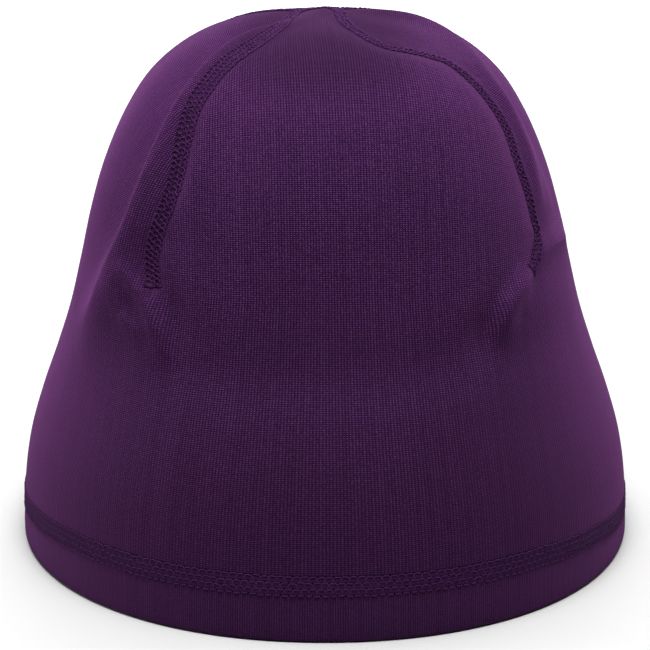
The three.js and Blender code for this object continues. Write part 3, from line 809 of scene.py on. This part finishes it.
def bed(threads, line, count, closed):
    """The seam's raised bed, a strip with its edges tucked into the cloth."""
    share = np.linspace(0, count, count * BED_STEPS + 1)
    if closed:
        share = share[:-1]
    grid_share, grid_across = np.meshgrid(share, BED_ACROSS, indexing="ij")
    height = np.broadcast_to(BED_HEIGHT, grid_share.shape)
    along = grid_share * line.length / count
    points, _ = line.place(along, grid_across, height)
    marks = np.stack([grid_share, grid_across, 0 * grid_share], -1)
    wide = len(BED_ACROSS)
    faces = []
    for row in range(len(share) if closed else len(share) - 1):
        low = row * wide
        high = (row + 1) % len(share) * wide
        for i in range(wide - 1):
            faces.append((low + i, low + i + 1, high + i + 1, high + i))
    threads.add_mesh(points.reshape(-1, 3), faces, marks.reshape(-1, 3))


def bar_tack(threads, line, end, chance):
    """A few threads across a seam's end, which keep it from running."""
    last = SEAM_ROWS - 1
    across = np.linspace(-TACK_REACH, last + TACK_REACH, TACK_POINTS)
    dip = (np.abs(across / last * 2 - 1) / TACK_DIP_AT) ** TACK_DIP_POWER
    height = (TACK_HEIGHT - TACK_DIP * dip) * MM
    marks = np.stack([0 * across, across, TACK_RAISED + 0 * across], -1)
    for turn in range(TACK_THREADS):
        slip = chance.normal(0, TACK_SLIP)
        middle = end + slip + (turn - (TACK_THREADS - 1) / 2) * TACK_PITCH
        along = np.clip(middle + 0 * across, 0, line.length)
        paths, outs = line.place(along, across, height)
        threads.add(paths[None], outs[None], marks[None])


# Finishes


class Value:
    """A value in a finish's node tree. Arithmetic on it adds the nodes that work it out."""

    def __init__(self, finish, socket):
        self.finish = finish
        self.socket = socket

    def math(self, operation, *others):
        sockets = dict(enumerate((self, *others)))
        return self.finish.node("ShaderNodeMath", {"operation": operation}, sockets)

    def __add__(self, other):
        return self.math("ADD", other)

    def __sub__(self, other):
        return self.math("SUBTRACT", other)

    def __mul__(self, other):
        return self.math("MULTIPLY", other)

    def __truediv__(self, other):
        return self.math("DIVIDE", other)

    def __pow__(self, other):
        return self.math("POWER", other)

    def __rsub__(self, other):
        return self * -1 + other

    __radd__ = __add__
    __rmul__ = __mul__

    def fraction(self):
        return self.math("FRACT")

    def floor(self):
        return self.math("FLOOR")

    def size(self):
        return self.math("ABSOLUTE")

    def wave(self):
        """From 0 at whole numbers to 1 half-way between them, smoothly."""
        return 0.5 - 0.5 * (self * math.tau).math("COSINE")

    def ramp(self, low, high):
        """From 0 at low to 1 at high, smoothly; high may be the smaller."""
        settings = {"interpolation_type": "SMOOTHSTEP"}
        ends = (low, high, 0.0, 1.0) if low < high else (high, low, 1.0, 0.0)
        names = ("From Min", "From Max", "To Min", "To Max")
        sockets = {"Value": self, **dict(zip(names, ends))}
        return self.finish.node("ShaderNodeMapRange", settings, sockets)


class Finish:
    """One material, made from its nodes."""

    def __init__(self, name):
        self.material = bpy.data.materials.new(name)
        self.material.use_nodes = True
        self.tree = self.material.node_tree
        self.tree.nodes.clear()

    def node(self, kind, settings=None, sockets=None, output=0):
        """One node with its settings and sockets, and the value that it gives out."""
        node = self.tree.nodes.new(kind)
        for name, value in (settings or {}).items():
            setattr(node, name, value)
        for name, value in (sockets or {}).items():
            if isinstance(value, Value):
                self.tree.links.new(value.socket, node.inputs[name])
            else:
                node.inputs[name].default_value = value
        return Value(self, node.outputs[output])

    def split(self, vector):
        """The three numbers of a vector."""
        parts = self.node("ShaderNodeSeparateXYZ", {}, {"Vector": vector}).socket.node
        return [Value(self, socket) for socket in parts.outputs]

    def noise(self, scale, detail=2.0):
        """Cloudy noise from about 0 to 1, with features 1 / scale metres wide."""
        place = self.node("ShaderNodeTexCoord", output="Object")
        sockets = {"Vector": place, "Scale": scale, "Detail": detail}
        return self.node("ShaderNodeTexNoise", {}, sockets)

    def chance(self, x, y):
        """A number from 0 to 1 drawn for each pair of whole numbers."""
        place = self.node("ShaderNodeCombineXYZ", {}, {"X": x, "Y": y})
        return self.node("ShaderNodeTexWhiteNoise", {"noise_dimensions": "2D"}, {"Vector": place})

    def blend(self, share, low, high):
        """A colour between two colours."""
        sockets = {0: share, 6: low, 7: high}
        return self.node("ShaderNodeMix", {"data_type": "RGBA"}, sockets, output=2)

    def tint(self, colour, strength):
        """A colour made brighter or darker by a value."""
        sockets = {0: colour, "Scale": strength}
        return self.node("ShaderNodeVectorMath", {"operation": "SCALE"}, sockets)

    def surface(self, colour, height, depth, constants):
        """The shader, with a bump whose full height is depth metres."""
        bump = self.node("ShaderNodeBump", {}, {"Height": height, "Distance": depth, "Strength": 1.0})
        sockets = {"Base Color": colour, "Normal": bump, **constants}
        shader = self.node("ShaderNodeBsdfPrincipled", {}, sockets)
        self.node_output(shader)
        return self.material

    def node_output(self, shader):
        output = self.tree.nodes.new("ShaderNodeOutputMaterial")
        self.tree.links.new(shader.socket, output.inputs["Surface"])


# Colours of the loops, each between two hues, of the painted shade in the gaps between them and of the
# fuzz
JERSEY_LOOPS = ((0.154, 0.0485, 0.166, 1), (0.127, 0.0445, 0.185, 1))
JERSEY_GAP_SHADE = (0.0108, 0.00231, 0.0169, 1)
JERSEY_FUZZ = (0.0477, 0.0148, 0.0593, 1)
SHEEN_TINT = (0.52, 0.155, 0.56, 1)
JERSEY_SHADER = {
    "Roughness": 0.9,
    "Specular IOR Level": 0.01,
    "Sheen Weight": 0.25,
    "Sheen Roughness": 0.52,
    "Sheen Tint": SHEEN_TINT,
}
# The strips where the fuzz hides the loops, beside a dart's seam and below the hem's: how many
# millimetres past the seam's line they end, and where the fuzz is full. It also flattens the knit.
DART_FUZZ = (3.9, 2.4)
HEM_FUZZ = (5.5, 2.8)
FUZZ_FLATTENS = 0.7
# The knit is painted fainter towards the sides, a painted stand-in for the sheen that washes it out
# there, and it shows less towards the hem
SHEEN_FADE_ASIDE = (0.025, 0.075)
SHEEN_FADE_HIDES = 0.45
LOW_HIDES = 0.35
# A loop's arms rise to its middle by this share of a row, and a larger power makes loops smaller
ARM_RISE = 0.2
LOOP_POWER = 2.2
KNIT_DEPTH = 0.16 * MM
# Painted shade: below a height, growing from there on down to the ground, and at the top of the front
# panel, between two heights and within a way aside, the cloth is painted darker by a share.
LOW_SHADE_AND_FADE_TO = 0.1
LOW_DARKENS = 0.4
HIGH_PAINTED_SHADE = (0.132, 0.148)
HIGH_PAINTED_SHADE_ASIDE = (0.034, 0.014)
HIGH_DARKENS = 0.58
# Brightness of loops, columns and larger patches: the least and the difference
LOOP_SPREAD = (0.66, 0.54)
COLUMN_SPREAD = (0.92, 0.16)
PATCH_SPREAD = (0.88, 0.24)
PATCH_SCALE = 14.0
LIGHTNESS = 1.04
# Keeps the draw of the hues apart from that of the brightness
HUE_DRAW = 0.37
# Fine hairs over the knit
HAIR_SCALE = 2600.0
HAIR_SHOWS = 0.4
HAIR_HEIGHT = 0.35


def between(spread, share):
    """A least and a difference, read at a share from 0 to 1."""
    least, difference = spread
    return least + difference * share


def jersey(name, fuzz_reach, fuzz_share, contrast, closed, fineness):
    """Brushed jersey: columns of small bright loops with gaps between them painted dark as shade. The
    more it is closed, the more the loops of a column join into a line. It is painted darker, as shade,
    towards the hem and where the front panel narrows to the top point.
    """
    finish = Finish(name)
    knit = finish.node("ShaderNodeAttribute", {"attribute_name": "knit"}, output="Vector")
    wale, course, beside = finish.split(knit)
    wale = wale * fineness
    course = course * fineness
    arm = ((wale.fraction() - 0.5).size() * 2) * ARM_RISE
    row = course + arm
    uneven = finish.chance(wale.floor(), row.floor())
    streak = finish.chance(wale.floor(), 0.0)
    hue = finish.chance(wale.floor() + HUE_DRAW, row.floor())
    place = finish.node("ShaderNodeTexCoord", output="Object")
    aside, _, above = finish.split(place)
    sheen_fade = aside.size().ramp(*SHEEN_FADE_ASIDE)
    # Painted shade, darker towards the hem and at the top of the front panel; the low mask also makes the
    # knit show less
    low = above.ramp(LOW_SHADE_AND_FADE_TO, 0.0)
    high = above.ramp(*HIGH_PAINTED_SHADE) * aside.size().ramp(*HIGH_PAINTED_SHADE_ASIDE)
    painted_shade = 1 - LOW_DARKENS * low - HIGH_DARKENS * high
    relief = wale.wave() * (closed + (1 - closed) * row.wave() ** LOOP_POWER)
    fuzz = beside.ramp(*fuzz_reach) * fuzz_share
    hair = finish.noise(HAIR_SCALE, detail=3.0)
    cloudy = finish.noise(PATCH_SCALE, detail=3.0)
    shown = relief * between(LOOP_SPREAD, uneven) + (hair - 0.5) * HAIR_SHOWS
    loop = finish.blend(hue, *JERSEY_LOOPS)
    # Painted shade: the gaps between the loops are coloured dark
    colour = finish.blend(shown, JERSEY_GAP_SHADE, loop)
    # Painted sheen: the knit fades towards the fuzz colour at the sides
    clear = (1 - sheen_fade * SHEEN_FADE_HIDES) * (1 - low * LOW_HIDES) * contrast
    colour = finish.blend(clear, JERSEY_FUZZ, colour)
    colour = finish.blend(fuzz, colour, JERSEY_FUZZ)
    shade = between(COLUMN_SPREAD, streak) * between(PATCH_SPREAD, cloudy)
    colour = finish.tint(colour, shade * painted_shade * LIGHTNESS)
    height = relief * (1 - fuzz * FUZZ_FLATTENS) * contrast + hair * HAIR_HEIGHT
    return finish.surface(colour, height, KNIT_DEPTH, JERSEY_SHADER)


# Colours of the seam thread and of the shadow between its strands
THREAD = (0.068, 0.0175, 0.09, 1)
THREAD_SHADOW = (0.00924, 0.00193, 0.0139, 1)
THREAD_SHADER = {
    "Roughness": 0.8,
    "Specular IOR Level": 0.06,
    "Sheen Weight": 0.08,
    "Sheen Roughness": 0.4,
    "Sheen Tint": SHEEN_TINT,
}
THREAD_DEPTH = 0.12 * MM
# The holes in the bed, painted dark as shade: how their distance counts along and across, and where they
# start and are full
PIT_STRETCH = (1.4, 1.1)
PIT_REACH = (0.26, 0.1)
PIT_SHADE_DARKENS = 0.95
PIT_DEPTH = 2
# The shaded trench along the bed's first edge
TRENCH_REACH = (0.3, 0.0)
TRENCH_DARKENS = 0.85
# Brightness of the raised threads and of the bed, from the painted shadow up to the thread colour: the
# least and the difference. The bed is painted darker, as shade under the raised threads.
RAISED_SPREAD = (0.45, 0.5)
BED_SPREAD = (0.32, 0.4)
# How often the thread's twist and the bed's loops come round in a stitch and in a row
TWIST = (9, 5)
WEAVE = (3, 1.5)
THREAD_HAIR_SCALE = 3200.0
THREAD_HAIR_SHOWS = 0.5
THREAD_HAIR_HEIGHT = 0.3
TWIST_HEIGHT = 0.5


def seam_thread(name):
    """Bulky cover thread. Its bed of loops is painted darker, as shade under the raised threads, and has
    a hole at each end of each stitch, painted dark as shade.
    """
    finish = Finish(name)
    marks = finish.node("ShaderNodeAttribute", {"attribute_name": "knit"}, output="Vector")
    share, across, raised = finish.split(marks)
    row = (across + 0.5).floor()
    hole = ((share - row * 0.5 + 0.5).fraction() - 0.5).size()
    away = (hole * hole * PIT_STRETCH[0] + (across - row) ** 2 * PIT_STRETCH[1]) ** 0.5
    pit = away.ramp(*PIT_REACH) * (1 - raised)
    trench = across.ramp(*TRENCH_REACH) * (1 - raised)
    ply = (share * TWIST[0] + across * TWIST[1]).wave()
    hair = finish.noise(THREAD_HAIR_SCALE)
    onward = share * WEAVE[0]
    aside = across * WEAVE[1]
    weave = (onward + aside).wave() * (onward - aside).wave()
    lit = raised * between(RAISED_SPREAD, ply) + (1 - raised) * between(BED_SPREAD, weave)
    colour = finish.blend(lit + (hair - 0.5) * THREAD_HAIR_SHOWS, THREAD_SHADOW, THREAD)
    # Painted shade in the holes and along the trench
    colour = finish.tint(colour, (1 - pit * PIT_SHADE_DARKENS) * (1 - trench * TRENCH_DARKENS))
    height = raised * ply * TWIST_HEIGHT + (1 - raised) * weave
    height = height + hair * THREAD_HAIR_HEIGHT - pit * PIT_DEPTH
    return finish.surface(colour, height, THREAD_DEPTH, THREAD_SHADER)


def plain(name, colour, roughness):
    """One even colour."""
    finish = Finish(name)
    shader = finish.node("ShaderNodeBsdfPrincipled", {}, {"Base Color": colour, "Roughness": roughness})
    finish.node_output(shader)
    return finish.material


# The hat


crown, *lowest_knit = crown_cloth()
hem = hem_cloth(*lowest_knit)
crown.data.materials.append(jersey(
    "jersey", DART_FUZZ, fuzz_share=0.55, contrast=0.95, closed=0.08, fineness=1.0,
))
hem.data.materials.append(jersey(
    "hem_jersey", HEM_FUZZ, fuzz_share=0.1, contrast=0.8, closed=0.35, fineness=1.45,
))
for cloth_piece, node, slot in ((crown, "crown", "jersey"), (hem, "hem_band", "hem_jersey")):
    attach(cloth_piece, "root")
    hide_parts(node)


# Points of the seams' lines
DART_LINE_POINTS = 400
CLOSING_LINE_POINTS = 300
HEM_LINE_POINTS = 1441
# Two of the dart seams end at the top point, and the other two just short of them
TOP_END = 0.9995
SHORT_END = 0.985


def dart_line(name, last):
    """A dart's seam line from its lower end up to a climb near the top point."""
    climb = np.linspace(DARTS[name][0, 0], last, DART_LINE_POINTS)
    return SeamLine(dart_azimuth(name, climb), climb, DART_SEAM_WIDTH)


def closing_line():
    """The seam that closes the back, from the hem's seam up to the back left dart's lower end."""
    low = climb_of_height(hem_seam_height(np.array([BACK_SEAM_AZIMUTH])) + HEM_SEAM_WIDTH / 2)[0]
    climb = np.linspace(low, DARTS["back_left"][0, 0], CLOSING_LINE_POINTS)
    return SeamLine(np.full(len(climb), float(BACK_SEAM_AZIMUTH)), climb, DART_SEAM_WIDTH)


def hem_line():
    azimuth = np.linspace(-180, 180, HEM_LINE_POINTS)
    return SeamLine(azimuth, climb_of_height(hem_seam_height(azimuth)), HEM_SEAM_WIDTH, closed=True)


# Which stitch lies along each needle line of the hem's seam, and of a dart's
COVER_ROWS = {0: COVER_STITCH, 1: COVER_STITCH, 2: COVER_STITCH, 3: NEEDLE_STITCH}
DART_ROWS = {row: NEEDLE_STITCH + (0, 0, BAR_LIFT) for row in (0, 3)}
THREAD_FINISH = seam_thread("seam_thread")


def dart_seam(name, line, stitch, chance):
    count = int(round(line.length / stitch))
    threads = Threads()
    bed(threads, line, count, False)
    coil_rows(threads, line, count, chance)
    needle_rows(threads, line, count, DART_ROWS, chance, False)
    bar_tack(threads, line, TACK_PLACE, chance)
    return threads.piece(name)


def hem_seam(name, line, chance):
    count = int(round(line.length / HEM_STITCH))
    threads = Threads()
    bed(threads, line, count, True)
    needle_rows(threads, line, count, COVER_ROWS, chance, True)
    return threads.piece(name)


SEED = 7
draws = np.random.default_rng(SEED)
seams = [
    dart_seam("seam_front_left", dart_line("front_left", TOP_END), DART_STITCH, draws),
    dart_seam("seam_front_right", dart_line("front_right", SHORT_END), DART_STITCH, draws),
    dart_seam("seam_back_right", dart_line("back_right", TOP_END), DART_STITCH, draws),
    dart_seam("seam_back_left", dart_line("back_left", SHORT_END), DART_STITCH, draws),
    dart_seam("seam_back_closing", closing_line(), DART_STITCH, draws),
    hem_seam("seam_hem", hem_line(), draws),
]
for seam in seams:
    seam.data.materials.append(THREAD_FINISH)
    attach(seam, "root")


# The studio


FLOOR_SIZE = 6.0
FLOOR_DROP = 0.2 * MM
FLOOR_COLOUR = (0.5, 0.5, 0.5, 1)
FLOOR_ROUGHNESS = 0.9


def studio_floor():
    """A pale floor, a little under the hem."""
    half = FLOOR_SIZE / 2
    corners = [(-half, -half), (half, -half), (half, half), (-half, half)]
    mesh = bpy.data.meshes.new("floor")
    mesh.from_pydata([(x, y, -FLOOR_DROP) for x, y in corners], [], [(0, 1, 2, 3)])
    mesh.materials.append(plain("floor_pale", FLOOR_COLOUR, FLOOR_ROUGHNESS))
    floor = bpy.data.objects.new("floor", mesh)
    bpy.context.scene.collection.objects.link(floor)


def soft_light(name, place, size, power, goal=(0, 0, 0.08)):
    """A soft box at a place, turned to shine at a goal. The power is in watts."""
    light = bpy.data.lights.new(name, "AREA")
    light.shape = "RECTANGLE"
    light.size, light.size_y = size
    light.energy = power
    lamp = bpy.data.objects.new(name, light)
    bpy.context.scene.collection.objects.link(lamp)
    lamp.location = place
    lamp.rotation_euler = (Vector(goal) - Vector(place)).to_track_quat("-Z", "Y").to_euler()


def pale_world(strength):
    world = bpy.data.worlds.new("studio")
    world.use_nodes = True
    sky = world.node_tree.nodes["Background"].inputs
    sky["Color"].default_value = (1, 1, 1, 1)
    sky["Strength"].default_value = strength
    bpy.context.scene.world = world


# The photograph's view: the focal length in pixels of a square frame, where the camera stands, and
# how many degrees it looks down
FRAME_PIXELS = 650
FOCAL_PIXELS = 2456
SENSOR = 36.0
CAMERA_PLACE = (0, -0.7, 0.257)
CAMERA_PITCH = 15.85


def camera():
    lens = bpy.data.cameras.new("camera")
    lens.sensor_width = SENSOR
    lens.lens = FOCAL_PIXELS / FRAME_PIXELS * SENSOR
    view = bpy.data.objects.new("camera", lens)
    bpy.context.scene.collection.objects.link(view)
    view.location = CAMERA_PLACE
    view.rotation_euler = (math.radians(90 - CAMERA_PITCH), 0, 0)
    bpy.context.scene.camera = view


studio_floor()
soft_light("left_softbox", (-0.9, 0.15, 0.35), (0.5, 0.9), 3)
soft_light("right_back_softbox", (0.75, 0.55, 0.4), (0.5, 0.9), 2.4)
soft_light("top_softbox", (0, 0, 1.0), (0.8, 0.8), 10)
soft_light("front_top_softbox", (0, -0.27, 1.1), (0.7, 0.5), 12.5)
# This one is for the views from behind
soft_light("back_softbox", (0, 1.2, 0.28), (0.9, 0.5), 5)
# This one lights the floor behind the hat
soft_light("backdrop_softbox", (0, 0.95, 0.7), (1.8, 0.5), 14.5, (0, 0.95, 0))
pale_world(0.03)
camera()
bpy.context.scene.view_settings.view_transform = "Standard"
